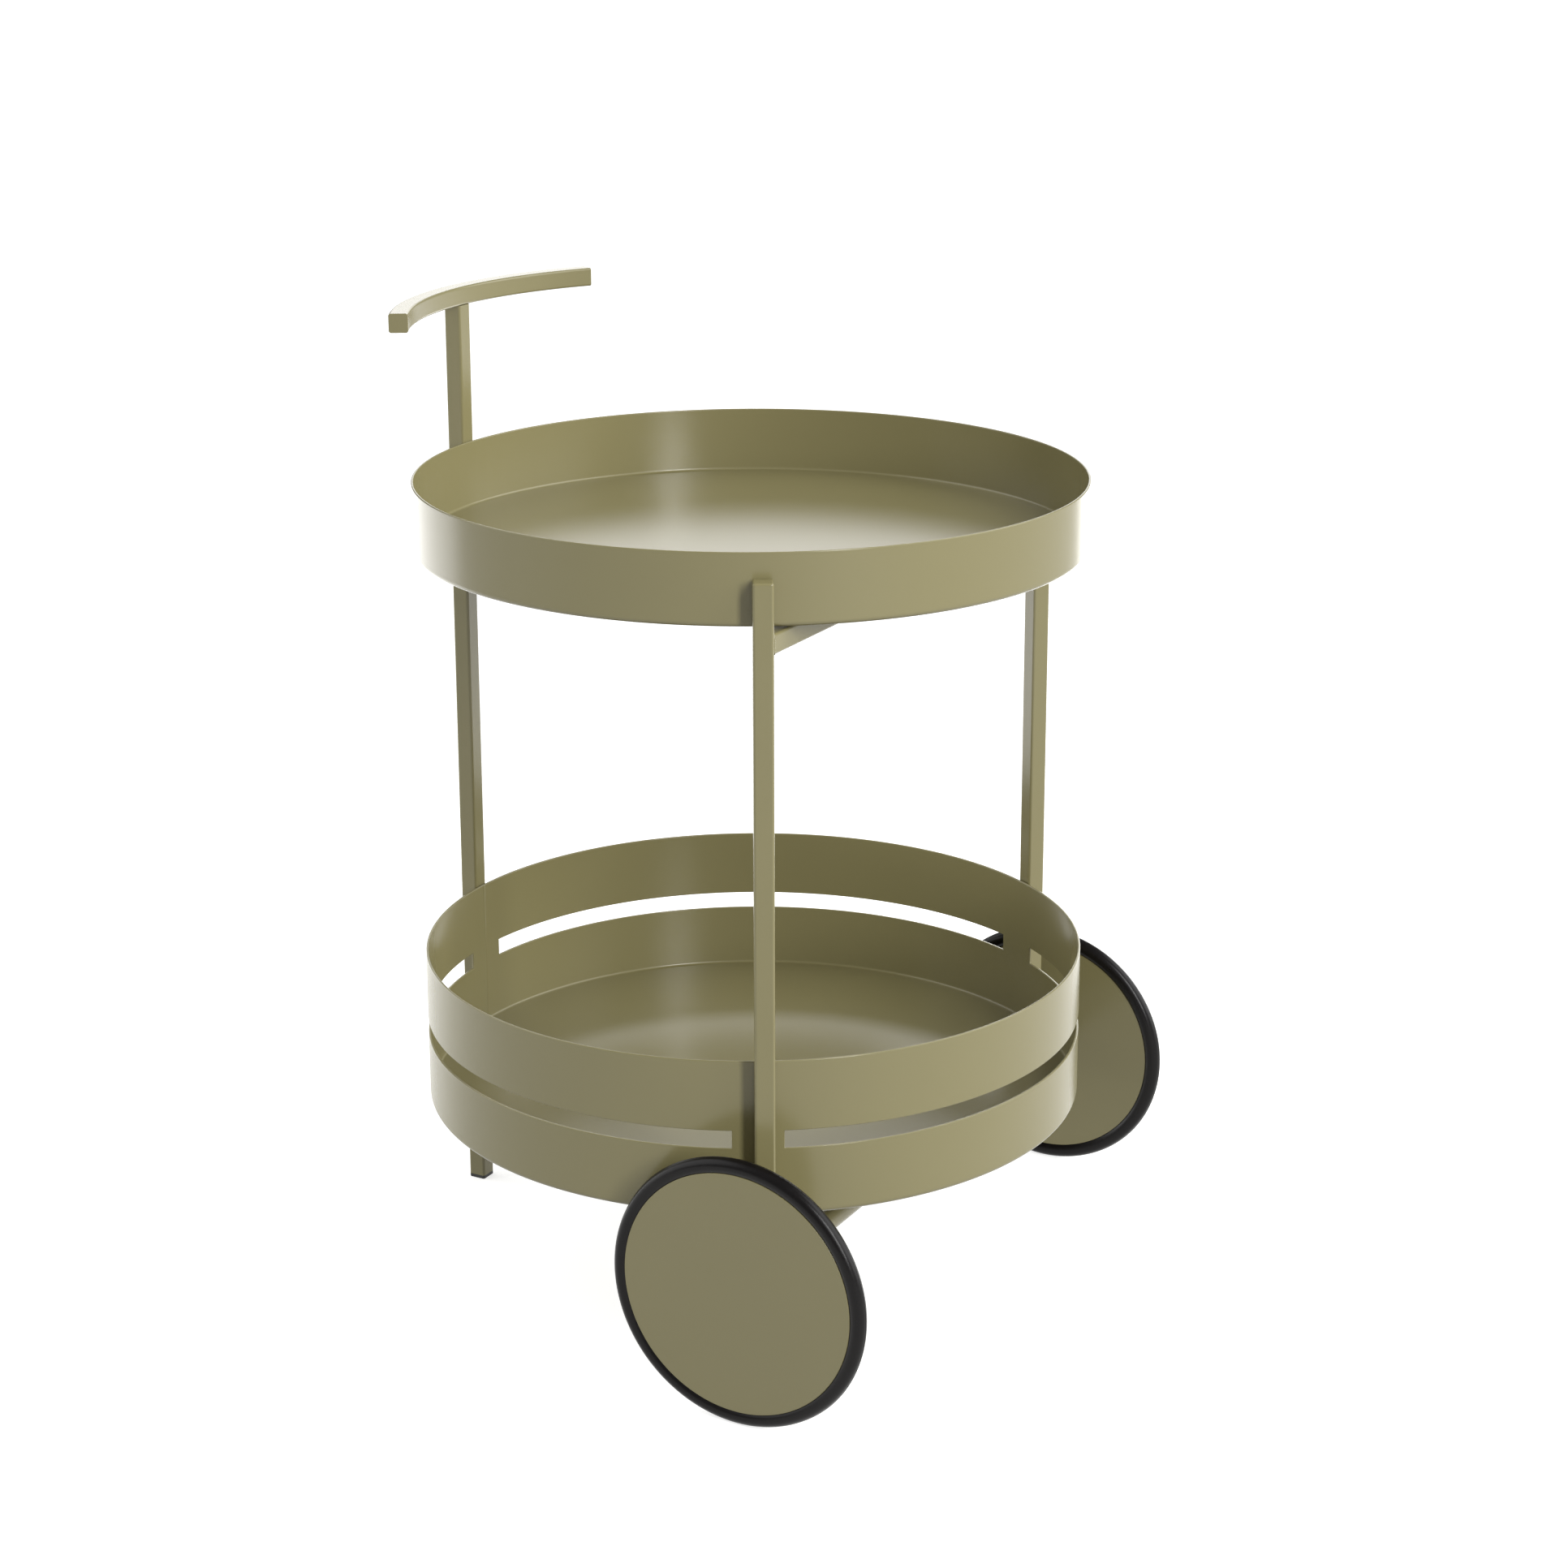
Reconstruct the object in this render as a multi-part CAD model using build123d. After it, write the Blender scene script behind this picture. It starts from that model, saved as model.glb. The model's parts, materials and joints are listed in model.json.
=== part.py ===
from build123d import *
import math
import os

# Plant trolley: two round sheet-steel trays held between three square-tube legs, with a bow handle on the
# rear leg and two disc wheels on an axle through the front legs.
# Millimetres, +Z up, +X forward (away from the handle), +Y towards the left wheel.
# The origin is on the floor, under the middle of the trolley's bounding box.

# Whole object
total_height = 620.0

# Trays
tray_d = 420.0
tray_sheet = 1.5
tray_bend = 1.5             # inside radius between wall and floor
rim_edge_round = 0.6        # rounding of the wall's free edge
upper_tray_z = 475.5        # underside of the upper tray above the floor
upper_rim_h = 43.5
lower_tray_z = 116.0        # underside of the lower tray above the floor
lower_rim_h = 98.0
slot_low = 43.0             # lower edge of the rim slots above the lower tray's underside
slot_h = 11.0
web_w = 31.0                # solid web left between two slots, behind each leg
web_pitch = 120.0           # from one web to the next, starting behind the rear leg

# Square tube of the frame
tube_w = 12.0
tube_wall = 1.5
tube_corner = 1.5
tube_bore_corner = 0.4

# Legs
leg_gap = 1.0               # between a leg and the rims
wheel_leg_angle = 59.0      # from straight ahead, seen from above
wheel_leg_rise = 28.5       # top of the wheel legs above the upper tray's underside
wheel_leg_drop = 12.0       # bottom of the wheel legs below the axle
leg_cap_t = 3.0
leg_cap_round = 1.2
foot_flange_t = 2.5
plug_depth = 8.0
plug_clearance = 0.1
axle_plug_gap = 1.0         # between a wheel leg's lower plug and the axle hole

# Handle
handle_arc_r = 205.0
handle_half_angle = 32.0
handle_cap_t = 1.5
handle_cap_round = 0.5
handle_plug_depth = 4.0

# Bars under the trays, and what fixes the trays to them
support_gap = 2.0           # between a bar and the tray above it
boss_d = 12.0
fixing_y = 95.0             # fixings on a cross bar, from its middle
fixing_x = -120.0           # fixing on a stretcher, from the tray's axis
screw_d = 4.0
screw_head_d = 7.6
screw_head_h = 2.2
screw_end_gap = 0.3         # between a screw's end and the tray
hex_key = 2.5
hex_depth = 1.3
screw_hole_clearance = 0.25
thread_clearance = 0.05
screw_washer_d = 8.0
screw_washer_t = 0.5
access_hole_d = 8.4

# Axle
axle_d = 8.0
axle_tube_d = 13.5
axle_tube_wall = 1.5
axle_hole_clearance = 0.2
axle_end_chamfer = 0.6
ring_groove_depth = 0.7
ring_t = 1.0
ring_d = 14.0
ring_clearance = 0.05
ring_mouth_w = 5.0
axle_end_gap = 0.8          # between the axle's end and the wheel's cover
washer_t = 1.0
inner_washer_d = 18.0
outer_washer_d = 16.0
washer_clearance = 0.1
side_play = 0.2             # axial play on each side of a wheel's bush

# Wheels
wheel_d = 168.0
wheel_y = 218.5             # middle plane of a wheel
tyre_section_d = 10.5
tyre_seat_clearance = 0.05
plate_t = 6.0
hub_boss_d = 26.0
hub_boss_len = 9.5
hub_fillet = 2.0
hub_recess_d = 20.0
hub_recess_depth = 4.5
bush_d = 12.0
bush_flange_d = 18.0
bush_flange_t = 1.2
running_clearance = 0.05
cover_t = 1.2
cover_edge_gap = 0.15

# Worked-out sizes and places
tray_r = tray_d / 2
leg_r = tray_r + leg_gap + tube_w / 2
tray_x = (leg_r + tube_w / 2 - tray_r) / 2
handle_leg_x = tray_x - leg_r
wheel_leg_x = tray_x + leg_r * math.cos(math.radians(wheel_leg_angle))
wheel_leg_y = leg_r * math.sin(math.radians(wheel_leg_angle))
axle_x = wheel_leg_x
axle_z = wheel_d / 2
wheel_leg_low = axle_z - wheel_leg_drop
wheel_leg_high = upper_tray_z + wheel_leg_rise
handle_bar_low = total_height - tube_w
tube_bore = tube_w - 2 * tube_wall
plug_w = tube_bore - 2 * plug_clearance
boss_bore_d = screw_d + 2 * thread_clearance
screw_hole_d = screw_d + 2 * screw_hole_clearance
axle_hole_d = axle_d + 2 * axle_hole_clearance
tyre_r = tyre_section_d / 2
tyre_ring_r = wheel_d / 2 - tyre_r
# Heights along a wheel's own axis, from its middle plane outwards
bush_face = -plate_t / 2 - hub_boss_len - bush_flange_t
bush_end = plate_t / 2 - hub_recess_depth
outer_washer_low = bush_end + side_play
ring_low = outer_washer_low + washer_t + washer_clearance
axle_end = plate_t / 2 - axle_end_gap
# Distances from the trolley's middle plane
inner_washer_y = wheel_y + bush_face - side_play - washer_t


def save(name, *solids):
    """Write one named piece, or a group of like pieces, as a STEP file."""
    export_step(solids[0] if len(solids) == 1 else Compound(list(solids)), f"parts/{name}.step")


def turned(points):
    """Solid turned about Z from a closed outline of (radius, height) points."""
    return revolve(Plane.XZ * make_face(Polyline(*points, close=True)), Axis.Z)


def ring_edges(solid, radius, height):
    """Round edges of a turned solid at a radius and a height."""
    found = []
    for edge in solid.edges().filter_by(GeomType.CIRCLE):
        if abs(edge.radius - radius) < 0.01 and abs(edge.arc_center.Z - height) < 0.01:
            found.append(edge)
    return found


def square_bar(length, width=tube_w, corner=tube_corner):
    """Square bar with rounded corners, standing on the XY plane."""
    return extrude(RectangleRounded(width, width, corner), length)


def square_tube(length):
    """Length of the frame's square tube, standing on the XY plane."""
    return square_bar(length) - square_bar(length, tube_bore, tube_bore_corner)


def square_plug(flange_t, round_r, depth=plug_depth):
    """Closing plug for the square tube: a flange above Z = 0 and a spigot below it."""
    flange = square_bar(flange_t)
    flange = fillet(flange.faces().sort_by(Axis.Z)[-1].edges(), round_r)
    spigot = Pos(0, 0, -depth) * square_bar(depth, plug_w, tube_bore_corner)
    return flange + spigot


def at_leg(angle, z):
    """Place on a leg's centre line, turned so that the tube's faces look along the tray's radius."""
    x = tray_x + leg_r * math.cos(math.radians(angle))
    y = leg_r * math.sin(math.radians(angle))
    return Location((x, y, z), (0, 0, angle))


def wheel_leg_bodies():
    """The wheel legs' outlines without their bores, for what is coped to fit against them."""
    length = wheel_leg_high - wheel_leg_low
    return [at_leg(side * wheel_leg_angle, wheel_leg_low) * square_bar(length) for side in (-1, 1)]


def along_y(z, start_y):
    """Place that lays an upright piece along Y, starting at start_y, over the axle."""
    return Location((axle_x, start_y, z), (-90, 0, 0))


def at_wheel(side):
    """A wheel's centre, with its own +Z pointing away from the trolley."""
    return Location((axle_x, side * wheel_y, axle_z), (-90 * side, 0, 0))


# Trays

def tray_shell(rim_h):
    """Round tray of bent sheet, standing on Z = 0 about the Z axis."""
    inner_r = tray_r - tray_sheet
    shell = turned([
        (0, 0),
        (tray_r, 0),
        (tray_r, rim_h),
        (inner_r, rim_h),
        (inner_r, tray_sheet),
        (0, tray_sheet),
    ])
    shell = fillet(ring_edges(shell, tray_r, 0), tray_bend + tray_sheet)
    shell = fillet(ring_edges(shell, inner_r, tray_sheet), tray_bend)
    rim_edges = ring_edges(shell, tray_r, rim_h) + ring_edges(shell, inner_r, rim_h)
    return fillet(rim_edges, rim_edge_round)


def rim_slots():
    """Band cut out of the lower tray's wall, interrupted by a web at each leg."""
    reach = tray_sheet
    outer_r = tray_r + reach
    inner_r = tray_r - tray_sheet - reach
    band = extrude(Circle(outer_r) - Circle(inner_r), slot_h)
    for index in range(3):
        web = Pos(tray_r, 0, slot_h / 2) * Box(6 * tray_sheet, web_w, slot_h)
        band -= Rot(0, 0, 180 + index * web_pitch) * web
    return Pos(0, 0, slot_low) * band


def make_trays():
    save("upper_tray", Pos(tray_x, 0, upper_tray_z) * tray_shell(upper_rim_h))
    save("lower_tray", Pos(tray_x, 0, lower_tray_z) * (tray_shell(lower_rim_h) - rim_slots()))


# Legs and handle

def make_handle_leg():
    """Rear leg, from its foot cap up to the handle bar."""
    length = handle_bar_low - foot_flange_t
    save("handle_leg", at_leg(180, foot_flange_t) * square_tube(length))
    foot = Rot(180, 0, 0) * square_plug(foot_flange_t, leg_cap_round / 2)
    save("foot_cap", at_leg(180, foot_flange_t) * foot)


def make_wheel_legs():
    """Front legs, drilled for the axle and closed at both ends by plugs."""
    length = wheel_leg_high - wheel_leg_low - 2 * leg_cap_t
    axle_hole = along_y(axle_z, 0) * Cylinder(axle_hole_d / 2, 3 * wheel_leg_y)
    for side, name in ((-1, "right"), (1, "left")):
        leg = at_leg(side * wheel_leg_angle, wheel_leg_low + leg_cap_t) * square_tube(length)
        save(f"wheel_leg_{name}", leg - axle_hole)
    low_depth = wheel_leg_drop - leg_cap_t - axle_hole_d / 2 - axle_plug_gap
    top = square_plug(leg_cap_t, leg_cap_round)
    foot = Rot(180, 0, 0) * square_plug(leg_cap_t, leg_cap_round, low_depth)
    tops = [at_leg(side * wheel_leg_angle, wheel_leg_high - leg_cap_t) * top for side in (-1, 1)]
    feet = [at_leg(side * wheel_leg_angle, wheel_leg_low + leg_cap_t) * foot for side in (-1, 1)]
    save("wheel_leg_top_caps", *tops)
    save("wheel_leg_bottom_caps", *feet)


def make_handle():
    """Bow handle: square tube bent round a vertical axis, its ends closed by flush plugs."""
    centre = Pos(handle_leg_x + handle_arc_r, 0, handle_bar_low + tube_w / 2)
    cap_angle = math.degrees(handle_cap_t / handle_arc_r)
    tube_half_angle = handle_half_angle - cap_angle
    section = RectangleRounded(tube_w, tube_w, tube_corner)
    section -= RectangleRounded(tube_bore, tube_bore, tube_bore_corner)
    section = Plane.XZ * Pos(handle_arc_r, 0) * section
    bow = revolve(section, Axis.Z, revolution_arc=2 * tube_half_angle)
    save("handle_bar", centre * Rot(0, 0, 180 - tube_half_angle) * bow)
    caps = []
    for side in (-1, 1):
        end = Rot(0, 0, 180 + side * tube_half_angle) * Location((handle_arc_r, 0, 0), (-90 * side, 0, 0))
        caps.append(centre * end * square_plug(handle_cap_t, handle_cap_round, handle_plug_depth))
    save("handle_end_caps", *caps)


# Bars under the trays

def fixing_places(tray_z):
    """Points on top of the bars under a tray where it is screwed down."""
    top = tray_z - support_gap
    return [(axle_x, -fixing_y, top), (axle_x, fixing_y, top), (tray_x + fixing_x, 0, top)]


def fixing_holes(tray_z):
    """Screw holes in the bars' upper walls and access holes in their lower walls."""
    holes = []
    for x, y, top in fixing_places(tray_z):
        holes.append(Pos(x, y, top) * Cylinder(screw_hole_d / 2, tube_w))
        holes.append(Pos(x, y, top - tube_w) * Cylinder(access_hole_d / 2, tube_w))
    return holes


def make_supports(name, tray_z):
    """Cross bar coped between the wheel legs, and stretcher from it back to the rear leg."""
    middle_z = tray_z - support_gap - tube_w / 2
    bar = along_y(middle_z, -wheel_leg_y) * square_tube(2 * wheel_leg_y)
    for leg in wheel_leg_bodies():
        bar -= leg
    start = handle_leg_x + tube_w / 2
    length = axle_x - tube_w / 2 - start
    stretcher = Location((start, 0, middle_z), (0, 90, 0)) * square_tube(length)
    for hole in fixing_holes(tray_z):
        bar -= hole
        stretcher -= hole
    save(f"{name}_cross_bar", bar)
    save(f"{name}_stretcher", stretcher)


def tray_boss():
    """Low threaded boss welded under a tray, standing on the bar at Z = 0."""
    return extrude(Circle(boss_d / 2) - Circle(boss_bore_d / 2), support_gap)


def tray_screw():
    """Button-headed screw; Z = 0 is the bar's upper face and the head is inside the tube."""
    head_top = -tube_wall - screw_washer_t
    tip = support_gap - screw_end_gap
    shank = Pos(0, 0, head_top) * extrude(Circle(screw_d / 2), tip - head_top)
    head = Pos(0, 0, head_top - screw_head_h) * extrude(Circle(screw_head_d / 2), screw_head_h)
    head = fillet(ring_edges(head, screw_head_d / 2, head_top - screw_head_h), screw_head_h / 3)
    socket = extrude(RegularPolygon(hex_key / 2, 6, major_radius=False), hex_depth)
    return shank + head - Pos(0, 0, head_top - screw_head_h) * socket


def screw_washer():
    """Flat washer under a tray screw's head, inside the tube."""
    ring = extrude(Circle(screw_washer_d / 2) - Circle(screw_hole_d / 2), screw_washer_t)
    return Pos(0, 0, -tube_wall - screw_washer_t) * ring


def make_fixings(name, tray_z):
    places = [Pos(*place) for place in fixing_places(tray_z)]
    for piece_name, piece in (("bosses", tray_boss()), ("screws", tray_screw()), ("washers", screw_washer())):
        save(f"{name}_tray_{piece_name}", *[place * piece for place in places])


# Axle

def make_axle():
    """Axle rod right across the trolley, in a tube between the legs and a sleeve outside each leg."""
    half_length = wheel_y + axle_end
    rod = along_y(axle_z, 0) * Cylinder(axle_d / 2, 2 * half_length)
    rod = chamfer(rod.edges().filter_by(GeomType.CIRCLE), axle_end_chamfer)
    groove = extrude(Circle(axle_d) - Circle(axle_d / 2 - ring_groove_depth), ring_t + 2 * ring_clearance)
    for side in (-1, 1):
        rod -= at_wheel(side) * Pos(0, 0, ring_low - ring_clearance) * groove
    save("axle_rod", rod)

    section = Circle(axle_tube_d / 2) - Circle(axle_tube_d / 2 - axle_tube_wall)
    tube = along_y(axle_z, -wheel_leg_y) * extrude(section, 2 * wheel_leg_y)
    for leg in wheel_leg_bodies():
        tube -= leg
    save("axle_tube", tube)

    sleeve_section = Circle(axle_tube_d / 2) - Circle(axle_hole_d / 2)
    sleeve = extrude(sleeve_section, inner_washer_y - wheel_leg_y)
    sleeves = []
    for side, leg in zip((-1, 1), wheel_leg_bodies()):
        place = Location((axle_x, side * wheel_leg_y, axle_z), (-90 * side, 0, 0))
        sleeves.append(place * sleeve - leg)
    save("axle_sleeves", *sleeves)


def washer(outer_d):
    """Flat washer on the axle, standing on Z = 0."""
    return extrude(Circle(outer_d / 2) - Circle(axle_d / 2 + washer_clearance), washer_t)


def retaining_ring():
    """Open ring that snaps into the axle's groove, standing on Z = 0."""
    bore_r = axle_d / 2 - ring_groove_depth + ring_clearance
    ring = extrude(Circle(ring_d / 2) - Circle(bore_r), ring_t)
    mouth = Pos(ring_d / 2, 0, ring_t / 2) * Box(ring_d, ring_mouth_w, ring_t)
    return ring - mouth


def make_axle_rings():
    inner_place = Pos(0, 0, inner_washer_y - wheel_y)
    pieces = (
        ("inner_thrust_washers", inner_place * washer(inner_washer_d)),
        ("outer_washers", Pos(0, 0, outer_washer_low) * washer(outer_washer_d)),
        ("retaining_rings", Pos(0, 0, ring_low) * retaining_ring()),
    )
    for name, piece in pieces:
        save(name, at_wheel(-1) * piece, at_wheel(1) * piece)


# Wheels

def tyre_seat():
    """Ring that leaves room for the tyre in the wheel's edge."""
    return Torus(tyre_ring_r, tyre_r + tyre_seat_clearance)


def wheel_core():
    """Wheel plate with a hub boss on its inner side and a recess on its outer side."""
    half = plate_t / 2
    core = turned([
        (bush_d / 2, -half - hub_boss_len),
        (hub_boss_d / 2, -half - hub_boss_len),
        (hub_boss_d / 2, -half),
        (tyre_ring_r, -half),
        (tyre_ring_r, half),
        (hub_recess_d / 2, half),
        (hub_recess_d / 2, bush_end),
        (bush_d / 2, bush_end),
    ])
    core = fillet(ring_edges(core, hub_boss_d / 2, -half), hub_fillet)
    return core - tyre_seat()


def wheel_cover():
    """Thin disc that closes the hub and gives the wheel its plain outer face."""
    low = plate_t / 2
    high = low + cover_t
    seat_r = tyre_r + cover_edge_gap
    return turned([
        (0, low),
        (tyre_ring_r - math.sqrt(seat_r ** 2 - low ** 2), low),
        (tyre_ring_r - math.sqrt(seat_r ** 2 - high ** 2), high),
        (0, high),
    ])


def hub_bush():
    """Flanged plain bearing pressed into the hub boss."""
    bore_r = axle_d / 2 + running_clearance
    return turned([
        (bore_r, bush_face),
        (bush_flange_d / 2, bush_face),
        (bush_flange_d / 2, bush_face + bush_flange_t),
        (bush_d / 2, bush_face + bush_flange_t),
        (bush_d / 2, bush_end),
        (bore_r, bush_end),
    ])


def make_wheels():
    for side, name in ((-1, "right"), (1, "left")):
        place = at_wheel(side)
        save(f"wheel_core_{name}", place * wheel_core())
        save(f"wheel_cover_{name}", place * wheel_cover())
        save(f"hub_bush_{name}", place * hub_bush())
        save(f"tyre_{name}", place * Torus(tyre_ring_r, tyre_r))


os.makedirs("parts", exist_ok=True)
make_trays()
make_handle_leg()
make_wheel_legs()
make_handle()
make_supports("upper", upper_tray_z)
make_supports("lower", lower_tray_z)
make_fixings("upper", upper_tray_z)
make_fixings("lower", lower_tray_z)
make_axle()
make_axle_rings()
make_wheels()
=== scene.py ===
import json
import math

import bpy
import numpy as np
from mathutils import Matrix, Vector


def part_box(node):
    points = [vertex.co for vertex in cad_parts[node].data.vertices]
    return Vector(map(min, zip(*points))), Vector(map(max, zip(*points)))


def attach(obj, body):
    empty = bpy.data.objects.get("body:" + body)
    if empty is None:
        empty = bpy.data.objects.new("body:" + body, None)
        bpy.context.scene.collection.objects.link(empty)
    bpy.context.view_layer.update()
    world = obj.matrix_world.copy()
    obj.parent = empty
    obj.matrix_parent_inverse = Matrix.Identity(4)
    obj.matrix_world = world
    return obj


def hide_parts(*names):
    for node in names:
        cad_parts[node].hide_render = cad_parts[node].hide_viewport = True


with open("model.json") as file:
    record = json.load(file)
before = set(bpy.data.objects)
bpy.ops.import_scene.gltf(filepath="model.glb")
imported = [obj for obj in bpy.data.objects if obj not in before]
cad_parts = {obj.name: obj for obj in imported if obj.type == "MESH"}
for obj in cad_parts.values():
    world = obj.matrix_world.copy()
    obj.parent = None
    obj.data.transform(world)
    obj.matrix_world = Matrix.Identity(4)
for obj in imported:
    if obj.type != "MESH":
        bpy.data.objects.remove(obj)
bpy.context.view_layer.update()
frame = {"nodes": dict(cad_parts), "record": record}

bl_info = {
    "name": "Plant trolley",
    "version": (1, 0, 0),
    "blender": (4, 5, 0),
    "location": "View3D > Sidebar > Trolley",
    "description": "Builds the finished look of a round two-tier plant trolley around its CAD frame",
    "category": "Add Mesh",
}

MM = 0.001
NODES = frame["nodes"]
SIDES = (("right", -1), ("left", 1))
TIERS = ("upper", "lower")

# Sizes read from the CAD frame, in metres
TRAY_LOW, TRAY_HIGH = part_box("upper_tray")
TRAY_R = (TRAY_HIGH.x - TRAY_LOW.x) / 2
TRAY_X = (TRAY_HIGH.x + TRAY_LOW.x) / 2
AXLE_LOW, AXLE_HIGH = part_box("axle_rod")
AXLE_X = (AXLE_LOW.x + AXLE_HIGH.x) / 2
AXLE_Z = (AXLE_LOW.z + AXLE_HIGH.z) / 2
HANDLE_LEG_LOW, HANDLE_LEG_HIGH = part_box("handle_leg")
TUBE_W = HANDLE_LEG_HIGH.x - HANDLE_LEG_LOW.x
HANDLE_LEG_X = (HANDLE_LEG_HIGH.x + HANDLE_LEG_LOW.x) / 2
LEG_R = TRAY_X - HANDLE_LEG_X
LEG_ANGLE = math.acos((AXLE_X - TRAY_X) / LEG_R)
WHEEL_LEG_Y = LEG_R * math.sin(LEG_ANGLE)
AXLE_TUBE_R = (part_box("axle_tube")[1].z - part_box("axle_tube")[0].z) / 2

# Sizes that the frame's boxes don't give, in metres
BOSS_R = 6 * MM
TUBE_CORNER = 1.5 * MM
TRAY_RINGS = (0.0, 0.07, 0.13, 0.17)      # radii of the rings of points in a tray's flat floor
COVER_RING = 0.04                         # the same in a wheel's disc
SEAM_WIDTH = 0.8 * MM                     # half width of a tray's seam
SEAM_COLUMNS = (0.35, 0.7, 1.1, 1.6, 2.4, 6.0)      # its points on each side of the middle, in mm
PARTING_WIDTH = 0.22 * MM                 # half width of a tyre's mould line
PARTING_COLUMNS = (-1.6, -0.8, 0, 0.8, 1.6)         # its points round the section, in degrees
FLOOR_RINGS = (0.0, 1.0, 3.0, 8.0, 20.0, 60.0)
BACKDROP_R = 30.0
WHITE = (1.0, 1.0, 1.0, 1.0)

# Camera: where it stands round the trays' axis, which way it looks, its distance and height
CAMERA_AZIMUTH = math.radians(29.363)
CAMERA_AIM = math.radians(28.779)
CAMERA_PITCH = math.radians(15.398)
CAMERA_ROLL = math.radians(0.108)
CAMERA_DISTANCE = 1.96998
CAMERA_HEIGHT = 0.94239
CAMERA_SHIFT = -0.0802


def hex_to_linear(code):
    """Linear RGB of an sRGB hex colour."""
    channels = [int(code[i:i + 2], 16) / 255 for i in (1, 3, 5)]
    return tuple(c / 12.92 if c <= 0.04045 else ((c + 0.055) / 1.055) ** 2.4 for c in channels)


# Settings

class TrolleySheet(bpy.types.PropertyGroup):
    thickness: bpy.props.FloatProperty(
        name="Sheet", description="Thickness of the trays' sheet metal",
        default=1.5 * MM, unit="LENGTH")
    bend: bpy.props.FloatProperty(
        name="Bend", description="Inside radius between floor and wall",
        default=1.5 * MM, unit="LENGTH")
    edge: bpy.props.FloatProperty(
        name="Edge", description="Rounding of the wall's free edge",
        default=0.6 * MM, unit="LENGTH")
    cut_edge: bpy.props.FloatProperty(
        name="Cut edge", description="Rounding of the slots' edges",
        default=0.35 * MM, unit="LENGTH")
    slot_low: bpy.props.FloatProperty(
        name="Slot", description="Lower edge of the slots above the tray's underside",
        default=43 * MM, unit="LENGTH")
    slot_height: bpy.props.FloatProperty(
        name="Slot height", description="Height of the slots", default=11 * MM, unit="LENGTH")
    web: bpy.props.FloatProperty(
        name="Web", description="Width of the solid web between two slots",
        default=31 * MM, unit="LENGTH")
    seam: bpy.props.FloatProperty(
        name="Seam", description="Height of the ground weld seam in the wall",
        default=0.25 * MM, unit="LENGTH")


class TrolleyWheel(bpy.types.PropertyGroup):
    edge: bpy.props.FloatProperty(
        name="Disc edge", description="Rounding of the disc's outer edge",
        default=0.5 * MM, unit="LENGTH")
    parting: bpy.props.FloatProperty(
        name="Parting line", description="Height of the tyre's mould line",
        default=0.15 * MM, unit="LENGTH")


class TrolleyWeld(bpy.types.PropertyGroup):
    radius: bpy.props.FloatProperty(
        name="Bead", description="Radius of the weld beads", default=1.0 * MM, unit="LENGTH")
    ripple: bpy.props.FloatProperty(
        name="Ripple", description="Spacing of the ripples along a bead",
        default=1.6 * MM, unit="LENGTH")


class TrolleyFinish(bpy.types.PropertyGroup):
    paint: bpy.props.FloatVectorProperty(
        name="Powder coat", description="Colour of the powder coat", subtype="COLOR", size=3,
        default=hex_to_linear("#76704E"))
    paint_roughness: bpy.props.FloatProperty(
        name="Roughness", description="Roughness of the powder coat", default=0.24, min=0, max=1)
    rubber: bpy.props.FloatVectorProperty(
        name="Rubber", description="Colour of the tyres", subtype="COLOR", size=3,
        default=hex_to_linear("#0D0B0B"))


class TrolleyStage(bpy.types.PropertyGroup):
    floor: bpy.props.FloatVectorProperty(
        name="Floor", description="Colour of the floor", subtype="COLOR", size=3,
        default=hex_to_linear("#BFBFBD"))
    glow: bpy.props.FloatProperty(
        name="Glow", description="Brightness of the floor's own light, like a light table",
        default=0.68, min=0)
    sky: bpy.props.FloatProperty(
        name="Surround", description="Brightness of the white surround", default=0.37, min=0)
    key: bpy.props.FloatProperty(
        name="Key light", description="Power of the tall softbox at the front right",
        default=58.0, min=0, unit="POWER")
    side: bpy.props.FloatProperty(
        name="Side light", description="Strength of the wide soft light from the right",
        default=3.0, min=0)
    card: bpy.props.FloatProperty(
        name="Card", description="Power of the low reflector at the left",
        default=6.0, min=0, unit="POWER")
    rim: bpy.props.FloatProperty(
        name="Rim lights", description="Power of each low softbox behind",
        default=2.3, min=0, unit="POWER")
    fill: bpy.props.FloatProperty(
        name="Fill light", description="Strength of the wide soft light from the left",
        default=1.4, min=0)
    back: bpy.props.FloatProperty(
        name="Back light", description="Strength of the wide soft light from behind",
        default=0.38, min=0)
    lens: bpy.props.FloatProperty(
        name="Lens", description="Focal length on a 36 mm wide sensor",
        default=74.46, unit="CAMERA")


# Materials

def add(tree, kind, inputs=None, **settings):
    """Adds one node with its settings; each input is given a value or linked from an output socket."""
    node = tree.nodes.new(kind)
    for key, value in settings.items():
        setattr(node, key, value)
    for key, value in (inputs or {}).items():
        if isinstance(value, bpy.types.NodeSocket):
            tree.links.new(value, node.inputs[key])
        else:
            node.inputs[key].default_value = value
    return node


MIX_FACTOR, MIX_A, MIX_B, MIX_RESULT = 0, 6, 7, 2     # colour sockets of the Mix node, by number


def new_material(name):
    """Empty node material with its output, ready for a shader."""
    material = bpy.data.materials.new(name)
    material.use_nodes = True
    tree = material.node_tree
    tree.nodes.clear()
    return material, tree, tree.nodes.new("ShaderNodeOutputMaterial")


def new_finish(name):
    """Empty node material with a node that gives places on the object, in metres."""
    material, tree, output = new_material(name)
    return material, tree, output, add(tree, "ShaderNodeTexCoord").outputs["Object"]


def noise(tree, place, millimetres, detail, **inputs):
    """Noise whose features are this many millimetres across."""
    inputs.update({"Vector": place, "Scale": 1 / (millimetres * MM), "Detail": detail})
    return add(tree, "ShaderNodeTexNoise", inputs).outputs["Fac"]


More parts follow.
